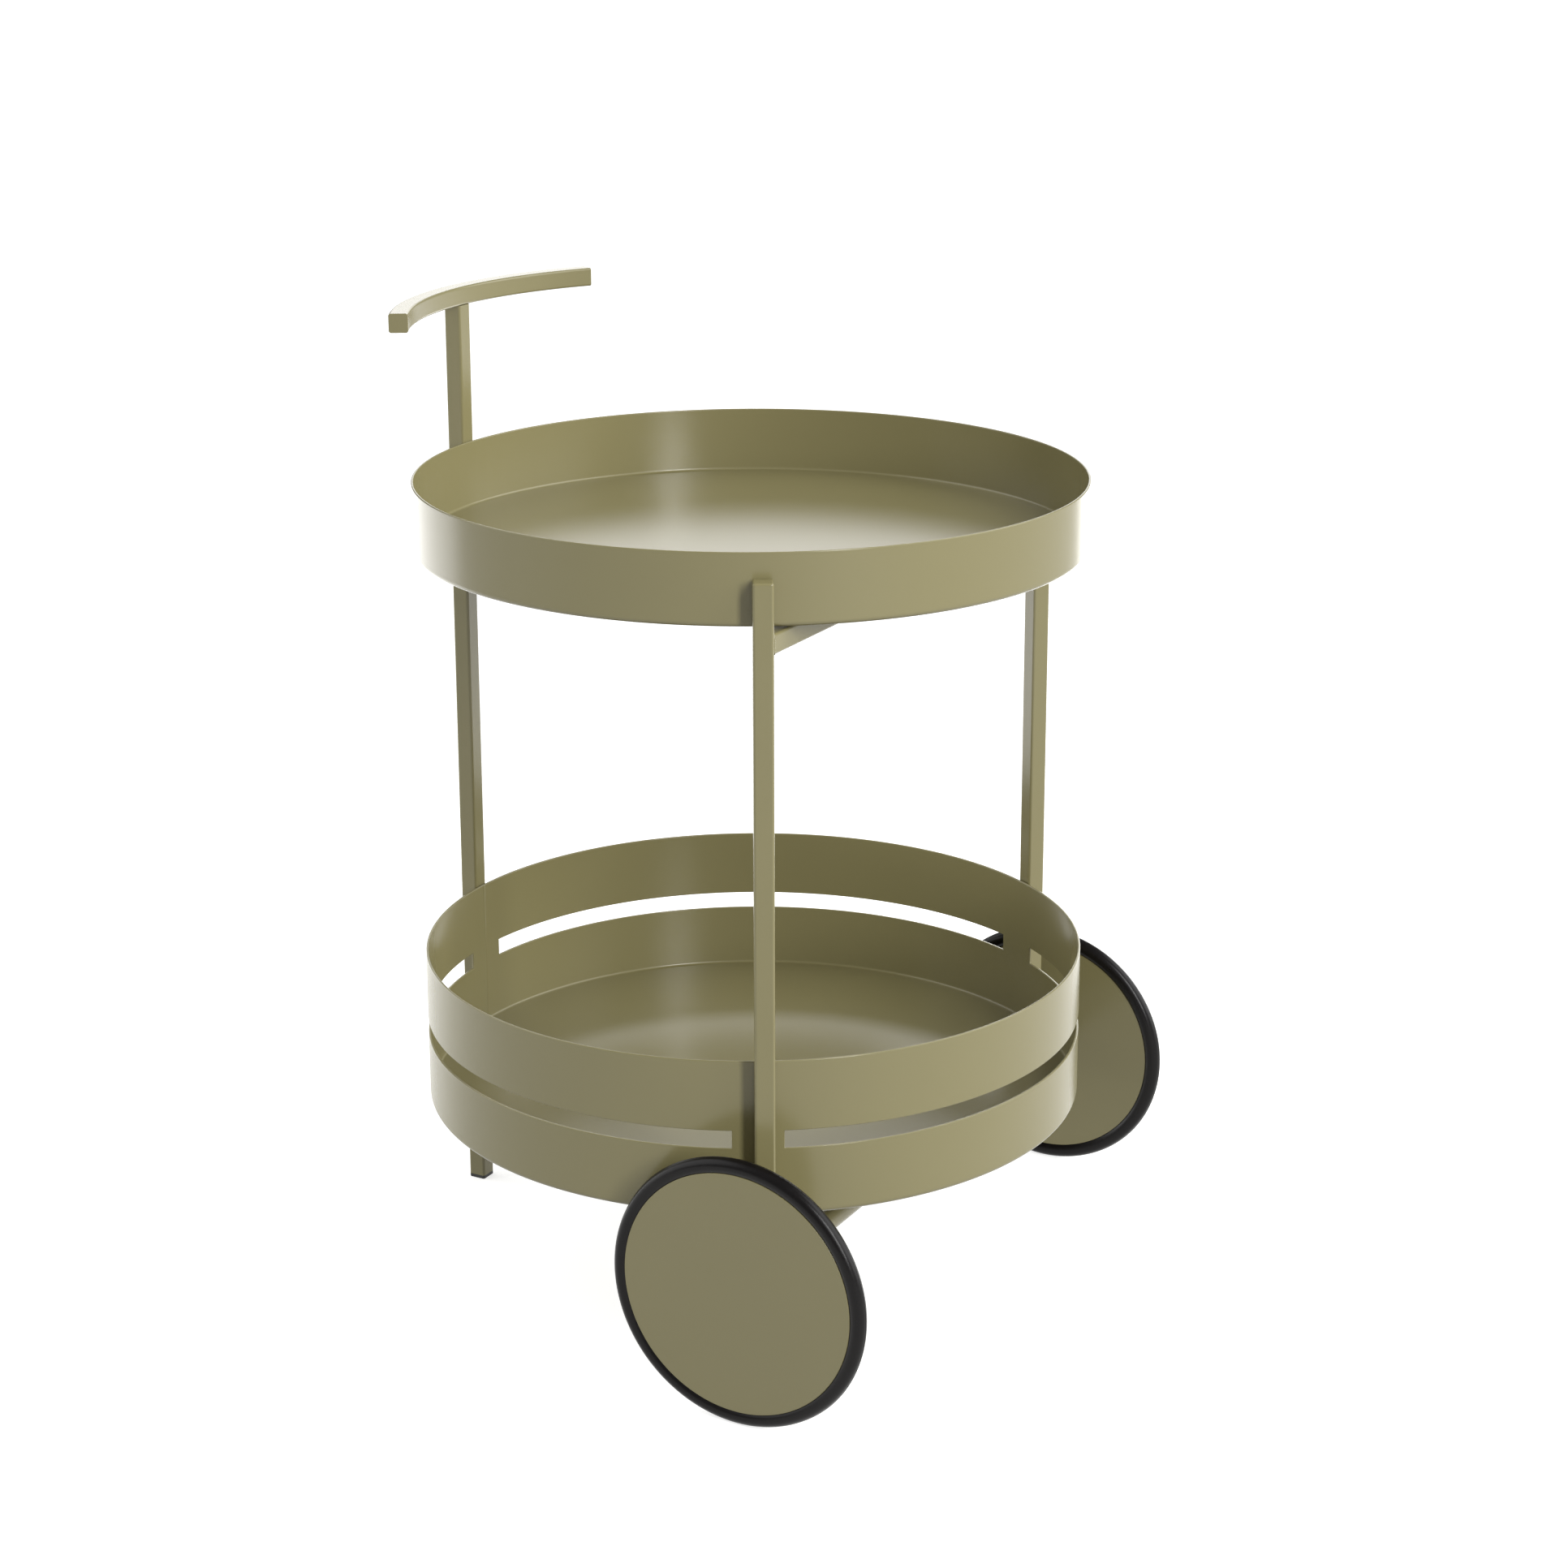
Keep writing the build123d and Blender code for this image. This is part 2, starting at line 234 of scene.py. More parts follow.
def shade(colour, factor):
    """The same colour, lighter or darker by a factor, with an alpha."""
    return tuple(min(1, c * factor) for c in colour) + (1.0,)


def tone_between(tree, factor, colour, dark, light):
    """Colour that goes from a darker shade to a lighter one with the factor."""
    mix = {MIX_FACTOR: factor, MIX_A: shade(colour, dark), MIX_B: shade(colour, light)}
    return add(tree, "ShaderNodeMix", mix, data_type="RGBA").outputs[MIX_RESULT]


def gloss_between(tree, factor, low, high):
    """Roughness that goes from low to high with the factor."""
    ramp = {"Value": factor, "To Min": low, "To Max": high}
    return add(tree, "ShaderNodeMapRange", ramp).outputs["Result"]


def bump_from(tree, height, strength, depth):
    """Normal of a relief of this depth in metres."""
    bump = {"Height": height, "Strength": strength, "Distance": depth}
    return add(tree, "ShaderNodeBump", bump).outputs["Normal"]


def surface(tree, output, **inputs):
    """Principled shader on the material's output; an underscore in a name stands for a space."""
    named = {key.replace("_", " "): value for key, value in inputs.items()}
    shader = add(tree, "ShaderNodeBsdfPrincipled", named)
    tree.links.new(shader.outputs["BSDF"], output.inputs["Surface"])


def powder_coat(colour, roughness):
    """Satin polyester powder coat, sprayed dry and baked on steel. The eye sees an even khaki with a
    soft, wide gloss and a faint orange peel. The peel is about 1 mm across and is drawn at 2.4 mm,
    so that it shows."""
    material, tree, output, place = new_finish("satin_powder_coat")
    cloud = noise(tree, place, 85, 2.0)
    peel = noise(tree, place, 2.4, 1.5, Roughness=0.45)
    grain = noise(tree, place, 0.6, 1.0)
    surface(tree, output, IOR=1.45,
            Base_Color=tone_between(tree, cloud, colour, 0.965, 1.035),
            Roughness=gloss_between(tree, grain, roughness - 0.03, roughness + 0.03),
            Normal=bump_from(tree, peel, 0.35, 0.05 * MM))
    return material


def tyre_rubber(colour):
    """Moulded black rubber with a polished mould's slight gloss. The eye sees near-black with a narrow
    highlight and a fine mottle where the gloss changes, drawn at 3 mm."""
    material, tree, output, place = new_finish("moulded_black_rubber")
    mottle = noise(tree, place, 3, 3.0)
    skin = noise(tree, place, 0.9, 2.0)
    surface(tree, output, IOR=1.52, Specular_IOR_Level=0.16,
            Base_Color=tone_between(tree, mottle, colour, 0.8, 1.25),
            Roughness=gloss_between(tree, mottle, 0.24, 0.36),
            Normal=bump_from(tree, skin, 0.4, 0.04 * MM))
    return material


def moulded_plastic(name, code, roughness):
    """Injection-moulded plastic, polypropylene or acetal. The eye sees an even, slightly waxy surface
    with a fine spark-eroded grain, drawn at 0.8 mm."""
    material, tree, output, place = new_finish(name)
    grain = noise(tree, place, 0.8, 2.0)
    surface(tree, output, IOR=1.49,
            Base_Color=tone_between(tree, grain, hex_to_linear(code), 0.9, 1.1),
            Roughness=gloss_between(tree, grain, roughness - 0.05, roughness + 0.05),
            Normal=bump_from(tree, grain, 0.3, 0.03 * MM))
    return material


def zinc_plated_steel():
    """Turned mild steel with bright zinc plating. The eye sees a pale metal with slightly uneven
    gloss."""
    material, tree, output, place = new_finish("zinc_plated_steel")
    patch = noise(tree, place, 5, 3.0)
    surface(tree, output, Metallic=1.0,
            Base_Color=tone_between(tree, patch, hex_to_linear("#D3D3CE"), 0.9, 1.05),
            Roughness=gloss_between(tree, patch, 0.24, 0.38))
    return material


MAKERS = {
    "powder_coat": lambda finish: powder_coat(tuple(finish.paint), finish.paint_roughness),
    "tyre_rubber": lambda finish: tyre_rubber(tuple(finish.rubber)),
    "black_plastic": lambda finish: moulded_plastic("black_polypropylene", "#1C1D1A", 0.48),
    "bush_plastic": lambda finish: moulded_plastic("dark_acetal", "#2B2B2C", 0.38),
    "steel": lambda finish: zinc_plated_steel(),
}


def material_for(slot):
    """The finished material of a slot of the record, made once."""
    key = "slot_" + slot
    for material in bpy.data.materials:
        if material.get("slot") == key:
            return material
    material = MAKERS[slot](bpy.context.scene.trolley_finish)
    material["slot"] = key
    return material


# Surfaces

def mesh_object(name, points, faces, material):
    """Mesh object at the origin from an (n, 3) array of points in metres and lists of face corners."""
    mesh = bpy.data.meshes.new(name)
    mesh.from_pydata(points.tolist(), [], faces)
    mesh.materials.append(material)
    thing = bpy.data.objects.new(name, mesh)
    bpy.context.scene.collection.objects.link(thing)
    return thing


def new_piece(name, points, faces, slot, body, replaces=()):
    """Smooth visible piece with the finish of a slot, riding on a body in place of the CAD pieces it
    replaces."""
    piece = mesh_object(name, points, faces, material_for(slot))
    polygons = piece.data.polygons
    polygons.foreach_set("use_smooth", np.ones(len(polygons), bool))
    piece.data.update()
    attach(piece, body)
    if replaces:
        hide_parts(*replaces)
    return piece


def full_turn(steps):
    """Angles evenly round a full turn, in radians."""
    return np.radians(np.linspace(0, 360, steps + 1)[:-1])


def grid_quads(rows, columns, closed_rows=False, closed_columns=False):
    """Corner numbers of the quads of a grid, as an array (quad rows, quad columns, 4)."""
    r = np.arange(rows if closed_rows else rows - 1)
    c = np.arange(columns if closed_columns else columns - 1)
    r, c = np.meshgrid(r, c, indexing="ij")
    r2, c2 = (r + 1) % rows, (c + 1) % columns
    return np.stack([r * columns + c, r * columns + c2, r2 * columns + c2, r2 * columns + c], axis=-1)


def arc(centre_a, centre_b, radius, start, end, steps):
    """Points (a, b) on a circle from one angle to another, in degrees."""
    t = np.radians(np.linspace(start, end, steps))
    return list(zip(centre_a + radius * np.cos(t), centre_b + radius * np.sin(t)))


def turned_points(profile, turn):
    """Surface turned about Z, as rows of points: (x, y) = radius times (cos, sin) of the angle."""
    radius = profile[:, 0][:, None]
    x = radius * np.cos(turn)[None, :]
    y = radius * np.sin(turn)[None, :]
    return np.stack([x, y, profile[:, 1][:, None] + 0 * x], axis=-1)


def turned_faces(rows, columns):
    """Faces of a closed turned surface whose first and last rows are single points on the axis."""
    quads = grid_quads(rows, columns, closed_columns=True)
    faces = quads[1:-1].reshape(-1, 4).tolist()
    first, last = quads[0], quads[-1]
    faces += np.stack([first[:, 0] * 0, first[:, 2], first[:, 3]], axis=-1).tolist()
    faces += np.stack([last[:, 0], last[:, 1], last[:, 2] * 0 + (rows - 1) * columns], axis=-1).tolist()
    return faces


def without_loose(points, faces):
    """Drops the points that no face uses and renumbers the faces."""
    used = np.unique(np.concatenate([np.asarray(f) for f in faces]))
    number = np.zeros(len(points), int)
    number[used] = np.arange(len(used))
    return points[used], [[int(number[i]) for i in face] for face in faces]


# Trays

def tray_profile(sheet, height, wall_rows):
    """Half section of a tray, from the middle of its underside round the rim to the middle of its
    floor: flats joined by arcs at the bend and round the free edge. Gives (radius, height) points
    and the rows of the two walls, whose heights are the same."""
    t = sheet.thickness
    inner = TRAY_R - t
    outer_bend = t + sheet.bend
    edge = sheet.edge
    flat = 1.5 * MM
    profile = [(r, 0.0) for r in (*TRAY_RINGS, TRAY_R - outer_bend - flat)]
    profile += arc(TRAY_R - outer_bend, outer_bend, outer_bend, -90, 0, 9)
    outer_rows = (len(profile), len(profile) + len(wall_rows))
    profile += [(TRAY_R, z) for z in wall_rows]
    profile += arc(TRAY_R - edge, height - edge, edge, 0, 90, 6)
    profile += arc(inner + edge, height - edge, edge, 90, 180, 6)
    inner_rows = (len(profile), len(profile) + len(wall_rows))
    profile += [(inner, z) for z in reversed(wall_rows)]
    profile += arc(inner - sheet.bend, t + sheet.bend, sheet.bend, 0, -90, 7)
    profile += [(r, t) for r in (inner - sheet.bend - flat, *reversed(TRAY_RINGS))]
    return np.array(profile), outer_rows, inner_rows


def tray_columns(sheet, hold):
    """Columns round a tray as (angle, slot end sign): close together at the seam and at the slots'
    ends, where the sign says which way the end leans so that it is cut square to the leg."""
    half_web = math.asin(sheet.web / 2 / TRAY_R)
    step = hold / TRAY_R
    third = 2 * math.pi / 3
    beside = np.array(SEAM_COLUMNS) * MM / TRAY_R
    columns = []
    for leg in range(3):
        middle = math.pi + leg * third
        if leg == 0:
            web = [*-beside[::-1], 0, *beside]
        else:
            web = np.linspace(-half_web, half_web, 9)[1:-1]
        slot = np.linspace(half_web + step, third - half_web - step, 104)
        columns += [(middle - half_web, -1), (middle - half_web + step, -1)]
        columns += [(middle + a, 0) for a in web]
        columns += [(middle + half_web - step, 1), (middle + half_web, 1)]
        columns += [(middle + a, 0) for a in slot]
    return np.array(columns)


def tray_points(sheet, profile, columns, low, wall, seam):
    """Turned surface: (x, y) = radius times (cos, sin) of the column's angle. In the walls the radius
    is raised by a bell-shaped weld seam over the rear leg, and a slot's end moves along the wall so
    that it stays at the same distance from the leg's middle plane on both faces of the sheet."""
    radius = profile[:, 0][:, None]
    angle = columns[:, 0][None, :] + 0 * radius
    sign = columns[:, 1][None, :]
    half = sheet.web / 2
    safe = np.maximum(radius, TRAY_R - 2 * sheet.thickness)
    angle = angle + wall[:, None] * sign * (np.arcsin(half / safe) - math.asin(half / TRAY_R))
    across = (angle - math.pi) * TRAY_R
    seam = seam * np.exp(-(across / SEAM_WIDTH) ** 2)
    outward = np.where(radius > TRAY_R - sheet.thickness / 2, 1, -1)
    radius = radius + wall[:, None] * outward * seam
    x = TRAY_X + radius * np.cos(angle)
    y = radius * np.sin(angle)
    z = low + profile[:, 1][:, None] + 0 * angle
    return np.stack([x, y, z], axis=-1)


def make_tray(tier):
    """One tray of bent sheet. The lower one has a band of three slots cut right through its wall,
    whose edges join the two faces of the sheet, and a weld seam that shows; the upper one's seam is
    ground flush."""
    sheet = bpy.context.scene.trolley_sheet
    node = tier + "_tray"
    low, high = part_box(node)
    height = high.z - low.z
    hold = 0.6 * MM
    slotted = tier == "lower"
    bend_top = sheet.thickness + sheet.bend + hold
    rows = [bend_top, height - sheet.edge - hold]
    slot = (sheet.slot_low, sheet.slot_low + sheet.slot_height)
    if slotted:
        rows = [bend_top, slot[0] - hold, slot[0], slot[1], slot[1] + hold, height - sheet.edge - hold]
    profile, outer_rows, inner_rows = tray_profile(sheet, height, rows)
    columns = tray_columns(sheet, hold)
    wall = np.zeros(len(profile))
    wall[outer_rows[0]:inner_rows[1]] = 1
    points = tray_points(sheet, profile, columns, low.z, wall, sheet.seam if slotted else 0)
    count = len(columns)
    faces = turned_faces(len(profile), count)
    if slotted:
        below, above = outer_rows[0] + 2, outer_rows[0] + 3
        inner_above, inner_below = inner_rows[0] + 2, inner_rows[0] + 3
        faces = cut_slots(faces, columns, count, (below, above), (inner_above, inner_below))
    points, faces = without_loose(points.reshape(-1, 3), faces)
    piece = new_piece(node + "_sheet", points, faces, "powder_coat", "frame", [node])
    if slotted:
        ease = piece.modifiers.new("eased_edges", "BEVEL")
        ease.width = sheet.cut_edge
        ease.segments = 3
        ease.limit_method = "ANGLE"
        ease.angle_limit = math.radians(60)


def cut_slots(faces, columns, count, outer, inner):
    """Takes the slots' quads out of both faces of the wall and closes their edges with quads across
    the sheet."""
    signs = columns[:, 1]
    open_column = np.zeros(count, bool)
    starts = [i for i in range(count) if signs[i] == 1 and signs[(i + 1) % count] == 0]
    for start in starts:
        i = start
        while True:
            open_column[i] = True
            i = (i + 1) % count
            if signs[i] == -1:
                break
    gone = set()
    edges = []
    for i in np.flatnonzero(open_column):
        j = (i + 1) % count
        low_a, low_b = outer[0] * count + i, outer[0] * count + j
        high_a, high_b = outer[1] * count + i, outer[1] * count + j
        in_low_a, in_low_b = inner[1] * count + i, inner[1] * count + j
        in_high_a, in_high_b = inner[0] * count + i, inner[0] * count + j
        gone.add(frozenset((low_a, low_b, high_a, high_b)))
        gone.add(frozenset((in_low_a, in_low_b, in_high_a, in_high_b)))
        edges.append([low_a, low_b, in_low_b, in_low_a])
        edges.append([high_b, high_a, in_high_a, in_high_b])
        if not open_column[i - 1]:
            edges.append([high_a, low_a, in_low_a, in_high_a])
        if not open_column[j]:
            edges.append([low_b, high_b, in_high_b, in_low_b])
    return [face for face in faces if frozenset(face) not in gone] + edges


# Wheels

def tyre_points(side, parting):
    """Ring of round section: a circle of the section's radius carried round the axle. The radius is
    raised by a narrow bell at the tread's middle, which is the mould's parting line."""
    low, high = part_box(f"tyre_{side}")
    section = (high.y - low.y) / 2
    ring = (high.z - low.z) / 2 - section
    middle = (high.y + low.y) / 2
    degrees = np.concatenate([np.linspace(4, 356, 60), PARTING_COLUMNS])
    around = np.radians(np.sort(degrees % 360))
    turn = full_turn(240)
    off = (around + math.pi) % (2 * math.pi) - math.pi
    radius = section - parting + parting * np.exp(-(off * section / PARTING_WIDTH) ** 2)
    out = ring + radius * np.cos(around)
    across = middle + radius * np.sin(around)
    x = AXLE_X + out[:, None] * np.sin(turn)[None, :]
    z = AXLE_Z + out[:, None] * np.cos(turn)[None, :]
    y = across[:, None] + 0 * x
    return np.stack([x, y, z], axis=-1)


def make_tyre(side):
    """Round black tyre seated in the wheel's edge."""
    wheel = bpy.context.scene.trolley_wheel
    points = tyre_points(side, wheel.parting)
    quads = grid_quads(points.shape[0], points.shape[1], True, True)
    new_piece(f"tyre_ring_{side}", points.reshape(-1, 3), quads.reshape(-1, 4).tolist(), "tyre_rubber",
              f"wheel_{side}", [f"tyre_{side}"])


def make_cover(side, sign):
    """Plain outer disc: a flat whose edge is rounded by an arc, turned about the axle."""
    wheel = bpy.context.scene.trolley_wheel
    low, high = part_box(f"wheel_cover_{side}")
    thickness = high.y - low.y
    play = 0.1 * MM
    radius = (high.z - low.z) / 2 - play
    edge = wheel.edge
    inner_y = low.y if sign > 0 else high.y
    profile = [(0.0, 0.0), (COVER_RING, 0.0), (radius, 0.0), (radius, thickness - edge - play)]
    profile += arc(radius - edge, thickness - edge, edge, 0, 90, 7)
    profile += [(radius - edge - 1 * MM, thickness), (COVER_RING, thickness), (0.0, thickness)]
    profile = np.array(profile)
    turn = full_turn(192)
    x = AXLE_X + profile[:, 0][:, None] * np.sin(turn)[None, :]
    z = AXLE_Z + sign * profile[:, 0][:, None] * np.cos(turn)[None, :]
    y = inner_y + sign * profile[:, 1][:, None] + 0 * x
    points = np.stack([x, y, z], axis=-1)
    points, faces = without_loose(points.reshape(-1, 3), turned_faces(len(profile), len(turn)))
    new_piece(f"wheel_disc_{side}", points, faces, "powder_coat", f"wheel_{side}",
              [f"wheel_cover_{side}"])


# Welds

def bead(path, closed, weld):
    """Weld bead: a small circle carried along a path, its radius rippled by a rounded saw along the
    length and narrowed towards the ends of an open path."""
    path = np.asarray(path, float)
    if closed:
        ahead, behind = np.roll(path, -1, axis=0), np.roll(path, 1, axis=0)
    else:
        ahead, behind = np.vstack([path[1:], path[-1:]]), np.vstack([path[:1], path[:-1]])
    along = ahead - behind
    along /= np.linalg.norm(along, axis=1)[:, None]
    reference = np.where(np.abs(along[:, 2:3]) > 0.9, [[1.0, 0.0, 0.0]], [[0.0, 0.0, 1.0]])
    side = np.cross(along, reference)
    side /= np.linalg.norm(side, axis=1)[:, None]
    up = np.cross(side, along)
    length = np.concatenate([[0], np.cumsum(np.linalg.norm(np.diff(path, axis=0), axis=1))])
    ripple_depth = 0.12
    narrowest = 0.02
    radius = weld.radius * (1 - ripple_depth * (length / weld.ripple % 1) ** 2)
    if not closed:
        ends = np.minimum(length, length[-1] - length)
        radius *= np.sqrt(np.clip(ends / weld.radius, narrowest, 1))
    around = full_turn(12)
    points = (path[:, None] + radius[:, None, None] * (side[:, None] * np.cos(around)[None, :, None]
                                                       + up[:, None] * np.sin(around)[None, :, None]))
    rows, columns = points.shape[:2]
    faces = grid_quads(rows, columns, closed, True).reshape(-1, 4)[:, ::-1].tolist()
    if not closed:
        faces += [list(range(columns)), [(rows - 1) * columns + i for i in range(columns)][::-1]]
    return points.reshape(-1, 3), faces


def joined(parts):
    """One set of points and faces from several."""
    points, faces, start = [], [], 0
    for part_points, part_faces in parts:
        points.append(part_points)
        faces += [[i + start for i in face] for face in part_faces]
        start += len(part_points)
    return np.vstack(points), faces


def leg_face(offset):
    """How far the near side of a wheel leg's turned square lies from its middle, along Y, at an offset
    along X."""
    half = TUBE_W / 2
    c, s = math.cos(LEG_ANGLE), math.sin(LEG_ANGLE)
    return np.minimum((half + c * offset) / s, (half - s * offset) / c)


def square_loop(half, corner, steps):
    """Rounded square as (a, b) points, evenly spaced along each side and round each corner."""
    flat = half - corner
    loop = []
    side = [(half, b) for b in np.linspace(-flat, flat, steps)]
    side += arc(flat, flat, corner, 0, 90, 6)[1:-1]
    for quarter in range(4):
        c = math.cos(math.radians(90 * quarter))
        s = math.sin(math.radians(90 * quarter))
        loop += [(a * c - b * s, a * s + b * c) for a, b in side]
    return np.array(loop)


def leg_joint(loop, middle_z, sign, outside=False):
    """Path of the seam where a bar or tube along Y meets a wheel leg: the bar's outline, with Y on the
    leg's face."""
    offset = loop[:, 0]
    reach = -leg_face(-offset) if outside else leg_face(offset)
    y = sign * (WHEEL_LEG_Y - reach)
    return np.stack([AXLE_X + offset, y, middle_z + loop[:, 1]], axis=-1)


def boss_places(tier):
    """Middles of a tray's three bosses, from the box round them."""
    low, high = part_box(f"{tier}_tray_bosses")
    front = high.x - BOSS_R
    return [(front, low.y + BOSS_R), (front, high.y - BOSS_R), (low.x + BOSS_R, 0.0)]


def make_welds():
    """Fillet beads where bars, tubes, sleeves, bosses and the handle are welded."""
    weld = bpy.context.scene.trolley_weld
    inset = weld.radius * 0.35
    reach = TUBE_W / 2 - inset
    square = square_loop(reach, TUBE_CORNER, 34)
    turn = full_turn(132)
    circle = np.stack([np.cos(turn), np.sin(turn)], axis=-1)
    tube = circle * (AXLE_TUBE_R - inset)
    boss = circle[::3] * BOSS_R
    bar_flat = np.linspace(-4.2, 4.2, 26) * MM
    handle_flat = np.linspace(-4.0, 4.0, 24) * MM
    parts = []
    for tier in TIERS:
        low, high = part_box(f"{tier}_cross_bar")
        middle_z = (low.z + high.z) / 2
        for _, sign in SIDES:
            parts.append(bead(leg_joint(square, middle_z, sign), True, weld))
        for height in (low.z + inset, high.z - inset):
            parts.append(bead([(HANDLE_LEG_HIGH.x, y, height) for y in bar_flat], False, weld))
        start_x = AXLE_X - TUBE_W / 2
        for y in (-reach, reach):
            parts.append(bead([(start_x, y, middle_z + h) for h in bar_flat], False, weld))
        boss_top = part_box(f"{tier}_tray_bosses")[1].z - inset
        for x, y in boss_places(tier):
            ring = np.column_stack([boss + (x, y), np.full(len(boss), boss_top)])
            parts.append(bead(ring, True, weld))
    for _, sign in SIDES:
        parts.append(bead(leg_joint(tube, AXLE_Z, sign), True, weld))
        parts.append(bead(leg_joint(tube, AXLE_Z, sign, True), True, weld))
    for y in (-reach, reach):
        parts.append(bead([(HANDLE_LEG_X + a, y, HANDLE_LEG_HIGH.z) for a in handle_flat], False, weld))
    points, faces = joined(parts)
    new_piece("weld_beads", points, faces, "powder_coat", "frame")


# Stage

def look_at(position, target):
    """Rotation that points an object's -Z at a target, with its Y up."""
    return (Vector(target) - Vector(position)).to_track_quat("-Z", "Y")


def towards(azimuth, elevation):
    """Unit vector towards a light; azimuth 0 is -Y, the camera's usual side, and 90 is +X."""
    a, e = math.radians(azimuth), math.radians(elevation)
    return Vector((math.sin(a) * math.cos(e), -math.cos(a) * math.cos(e), math.sin(e)))


def softbox(name, azimuth, elevation, distance, size, power, height=0.3):
    """Rectangular area light at a distance from a point at this height over the origin, which it
    faces."""
    target = (0, 0, height)
    light = bpy.data.lights.new(name, "AREA")
    light.shape = "RECTANGLE"
    light.size, light.size_y = size
    light.energy = power
    box = bpy.data.objects.new(name, light)
    box.location = Vector(target) + towards(azimuth, elevation) * distance
    box.visible_camera = False
    box.rotation_mode = "QUATERNION"
    box.rotation_quaternion = look_at(box.location, target)
    bpy.context.scene.collection.objects.link(box)
    return box


def wide_light(name, azimuth, elevation, spread, strength):
    """Very soft distant light, as wide as the angle given, like a diffuser far off."""
    light = bpy.data.lights.new(name, "SUN")
    light.energy = strength
    light.angle = math.radians(spread)
    lamp = bpy.data.objects.new(name, light)
    lamp.rotation_mode = "QUATERNION"
    lamp.rotation_quaternion = look_at(towards(azimuth, elevation), (0, 0, 0))
    bpy.context.scene.collection.objects.link(lamp)


def make_floor(colour, glow):
    """Flat disc of rings with a plain matt finish and some light of its own. It takes no part in the
    matt shading of the trolley."""
    rings = np.array([(r, 0.0) for r in FLOOR_RINGS])
    turn = full_turn(64)
    points = turned_points(rings, turn)
    quads = grid_quads(len(rings), len(turn), closed_columns=True)
    faces = quads[1:].reshape(-1, 4).tolist()
    first = quads[0]
    faces += np.stack([first[:, 2], first[:, 3], first[:, 0] * 0], axis=-1).tolist()
    points, faces = without_loose(points.reshape(-1, 3), faces)
    material, tree, output = new_material("matt_studio_floor")
    surface(tree, output, Base_Color=(*colour, 1.0), Roughness=0.9, Specular_IOR_Level=0.2,
            Emission_Color=WHITE, Emission_Strength=glow)
    floor = mesh_object("floor", points, faces, material)
    floor.visible_diffuse = False


def make_backdrop():
    """White sphere far round the stage, a half circle turned about Z, so that a low view ends on white
    too. Only the camera sees it: it gives no light and stops none."""
    profile = np.array(arc(0, 0, BACKDROP_R, -90, 90, 33))
    turn = full_turn(64)
    points = turned_points(profile, turn)
    points, faces = without_loose(points.reshape(-1, 3), turned_faces(len(profile), len(turn)))
    material, tree, output = new_material("white_backdrop")
    shader = add(tree, "ShaderNodeEmission", {"Color": WHITE, "Strength": 1.0})
    tree.links.new(shader.outputs["Emission"], output.inputs["Surface"])
    backdrop = mesh_object("backdrop", points, faces, material)
    backdrop.visible_diffuse = False
    backdrop.visible_glossy = False
    backdrop.visible_transmission = False
    backdrop.visible_shadow = False
    backdrop.visible_volume_scatter = False


def make_camera(lens):
    """Camera at the front right, a little above the upper tray, with a small downward shift."""
    camera = bpy.data.cameras.new("camera")
    camera.lens = lens
    camera.sensor_width = 36
    camera.shift_y = CAMERA_SHIFT
    camera.clip_start, camera.clip_end = 0.05, 200
    view = bpy.data.objects.new("camera", camera)
    ahead = Vector((-math.sin(CAMERA_AIM), math.cos(CAMERA_AIM), 0))
    forward = ahead * math.cos(CAMERA_PITCH) - Vector((0, 0, math.sin(CAMERA_PITCH)))
    level = Vector((math.cos(CAMERA_AIM), math.sin(CAMERA_AIM), 0))
    below = forward.cross(level)
    c, s = math.cos(CAMERA_ROLL), math.sin(CAMERA_ROLL)
    right = c * level + s * below
    down = c * below - s * level
    pose = Matrix((right, -down, -forward)).transposed().to_4x4()
    stand = Vector((math.sin(CAMERA_AZIMUTH), -math.cos(CAMERA_AZIMUTH), 0)) * CAMERA_DISTANCE
    pose.translation = stand + Vector((TRAY_X, 0, CAMERA_HEIGHT))
    view.matrix_world = pose
    bpy.context.scene.collection.objects.link(view)
    bpy.context.scene.camera = view


def make_world(strength):
    """Even white surround."""
    world = bpy.data.worlds.new("studio")
    world.use_nodes = True
    tree = world.node_tree
    tree.nodes.clear()
    output = tree.nodes.new("ShaderNodeOutputWorld")
    light = {"Color": WHITE, "Strength": strength}
    background = add(tree, "ShaderNodeBackground", light)
    tree.links.new(background.outputs["Background"], output.inputs["Surface"])
    bpy.context.scene.world = world


# Operators

class TROLLEY_OT_finishes(bpy.types.Operator):
    """Give every CAD piece the finish of its material slot"""
    bl_idname = "trolley.finishes"
    bl_label = "Finishes"

    def execute(self, context):
        for part in frame["record"]["subparts"]:
            piece = NODES[part["node"]]
            piece.data.materials.clear()
            piece.data.materials.append(material_for(part["material_slot"]))
        return {"FINISHED"}


class TROLLEY_OT_trays(bpy.types.Operator):
    """Make both sheet-metal trays"""
    bl_idname = "trolley.trays"
    bl_label = "Trays"

    def execute(self, context):
        for tier in TIERS:
            make_tray(tier)
        return {"FINISHED"}


class TROLLEY_OT_wheels(bpy.types.Operator):
    """Make both wheels' tyres and outer discs"""
    bl_idname = "trolley.wheels"
    bl_label = "Wheels"

    def execute(self, context):
        for side, sign in SIDES:
            make_tyre(side)
            make_cover(side, sign)
        return {"FINISHED"}


class TROLLEY_OT_welds(bpy.types.Operator):
    """Make the weld beads of the frame"""
    bl_idname = "trolley.welds"
    bl_label = "Weld beads"

    def execute(self, context):
        make_welds()
        return {"FINISHED"}


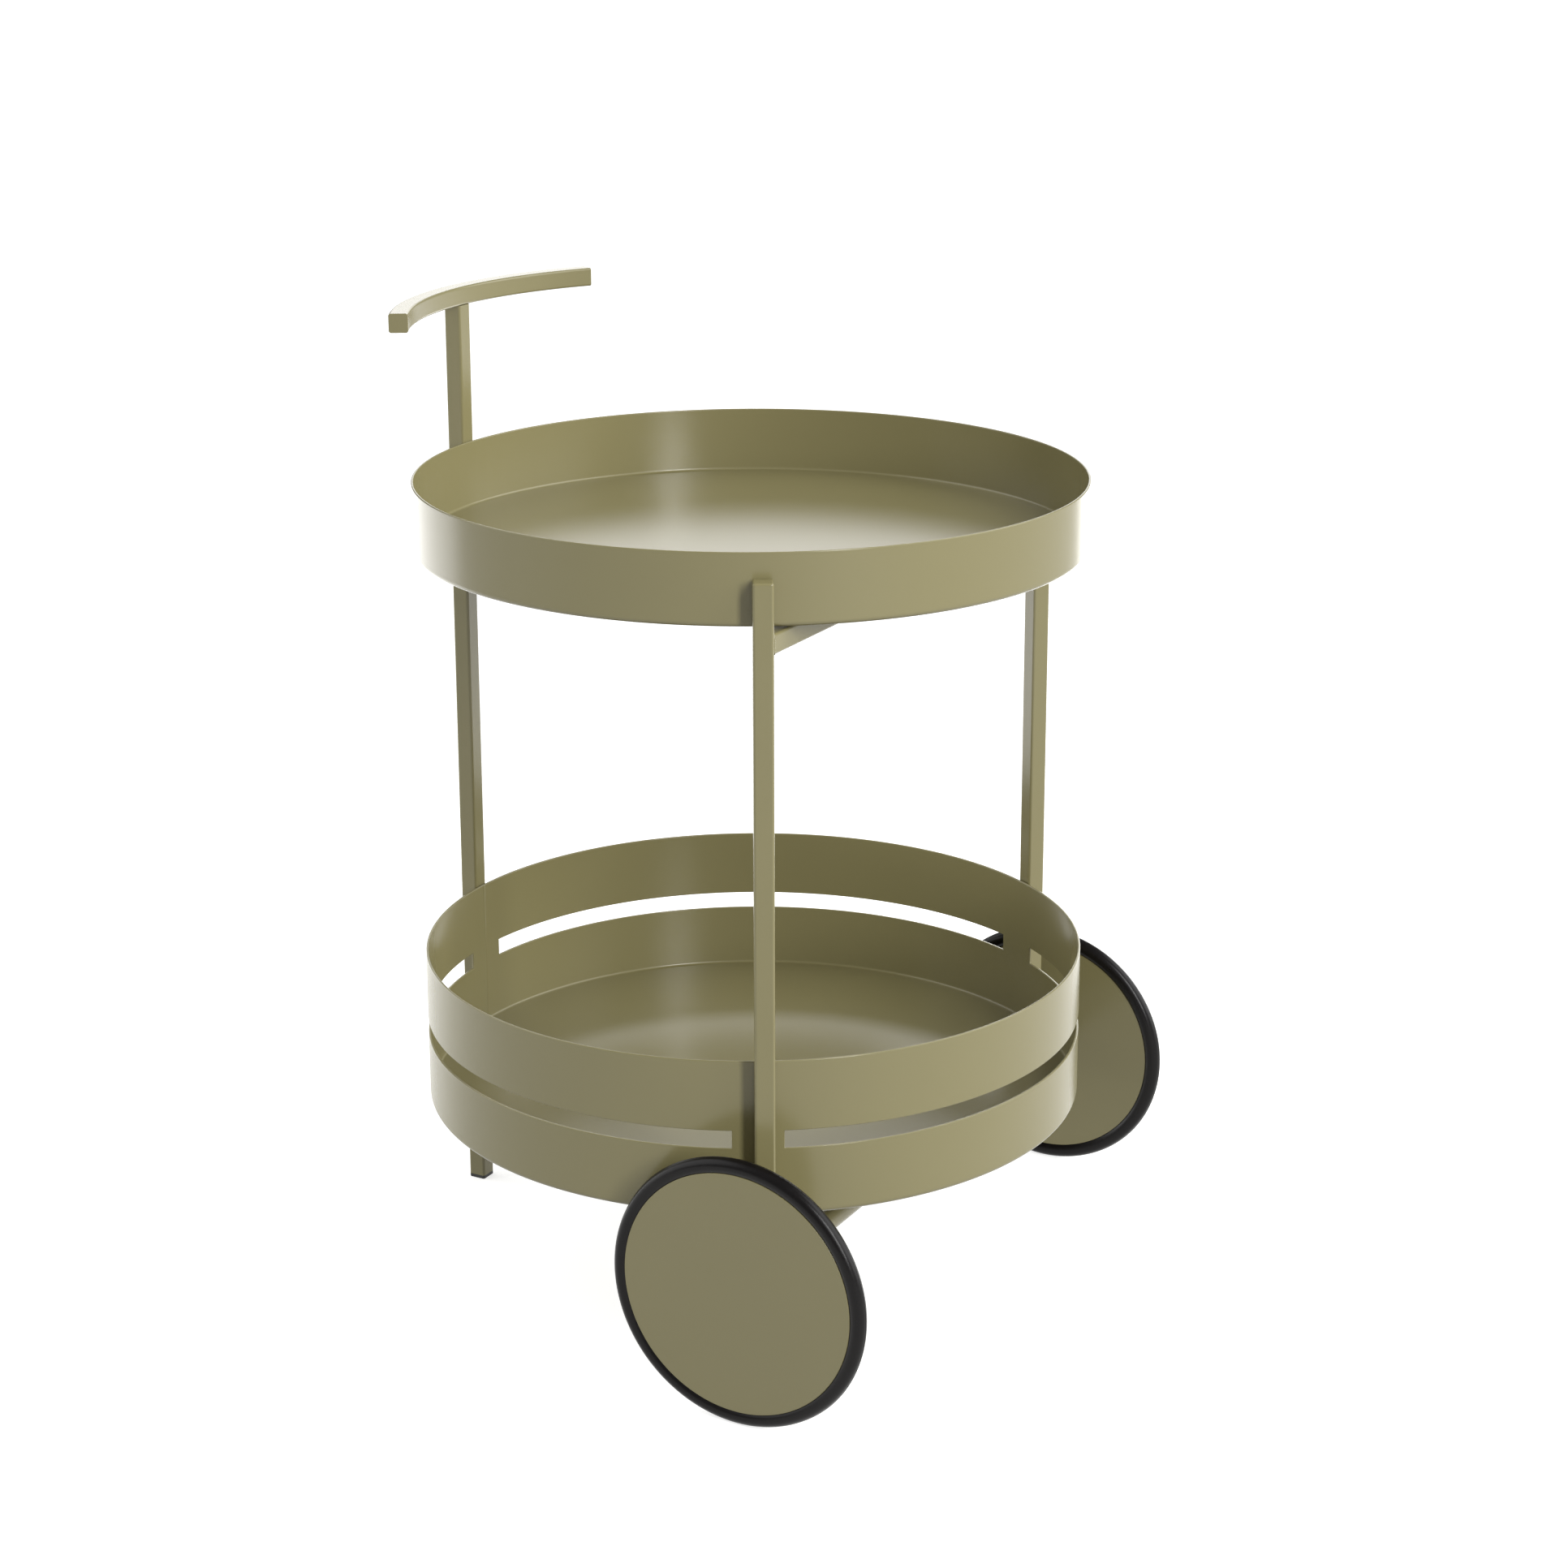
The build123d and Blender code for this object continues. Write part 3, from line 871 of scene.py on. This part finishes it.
class TROLLEY_OT_stage(bpy.types.Operator):
    """Make the floor, lights, surround and camera"""
    bl_idname = "trolley.stage"
    bl_label = "Stage"

    def execute(self, context):
        stage = context.scene.trolley_stage
        context.scene.view_settings.view_transform = "Standard"
        make_floor(tuple(stage.floor), stage.glow)
        make_backdrop()
        make_world(stage.sky)
        softbox("key", azimuth=59, elevation=26, distance=2.6, size=(0.4, 1.6), power=stage.key)
        card = softbox("card", azimuth=-62, elevation=0, distance=1.5, size=(1.6, 0.24),
                       power=stage.card, height=0.32)
        card.visible_glossy = False
        for name, azimuth, width in (("rim_left", 256, 0.9), ("rim_right", 180, 0.6)):
            softbox(name, azimuth, elevation=0, distance=0.8, size=(width, 0.4),
                    power=stage.rim, height=0.21)
        wide_light("side", azimuth=118, elevation=30, spread=60, strength=stage.side)
        wide_light("fill", azimuth=290, elevation=30, spread=60, strength=stage.fill)
        wide_light("back", azimuth=206, elevation=11, spread=28, strength=stage.back)
        make_camera(stage.lens)
        return {"FINISHED"}


class TROLLEY_PT_panel(bpy.types.Panel):
    bl_idname = "TROLLEY_PT_panel"
    bl_label = "Plant trolley"
    bl_space_type = "VIEW_3D"
    bl_region_type = "UI"
    bl_category = "Trolley"

    def draw(self, context):
        column = self.layout.column()
        for operator in OPERATORS:
            column.operator(operator.bl_idname)
        for name, group in GROUPS:
            for key in group.__annotations__:
                column.prop(getattr(context.scene, name), key)


GROUPS = (
    ("trolley_sheet", TrolleySheet),
    ("trolley_wheel", TrolleyWheel),
    ("trolley_weld", TrolleyWeld),
    ("trolley_finish", TrolleyFinish),
    ("trolley_stage", TrolleyStage),
)
OPERATORS = (
    TROLLEY_OT_finishes,
    TROLLEY_OT_trays,
    TROLLEY_OT_wheels,
    TROLLEY_OT_welds,
    TROLLEY_OT_stage,
)


def register():
    for name, group in GROUPS:
        bpy.utils.register_class(group)
        setattr(bpy.types.Scene, name, bpy.props.PointerProperty(type=group))
    for cls in (*OPERATORS, TROLLEY_PT_panel):
        bpy.utils.register_class(cls)


def unregister():
    for cls in (TROLLEY_PT_panel, *reversed(OPERATORS)):
        bpy.utils.unregister_class(cls)
    for name, group in reversed(GROUPS):
        delattr(bpy.types.Scene, name)
        bpy.utils.unregister_class(group)


def main():
    register()
    bpy.ops.trolley.finishes()
    bpy.ops.trolley.trays()
    bpy.ops.trolley.wheels()
    bpy.ops.trolley.welds()
    bpy.ops.trolley.stage()


if __name__ == "__main__":
    main()
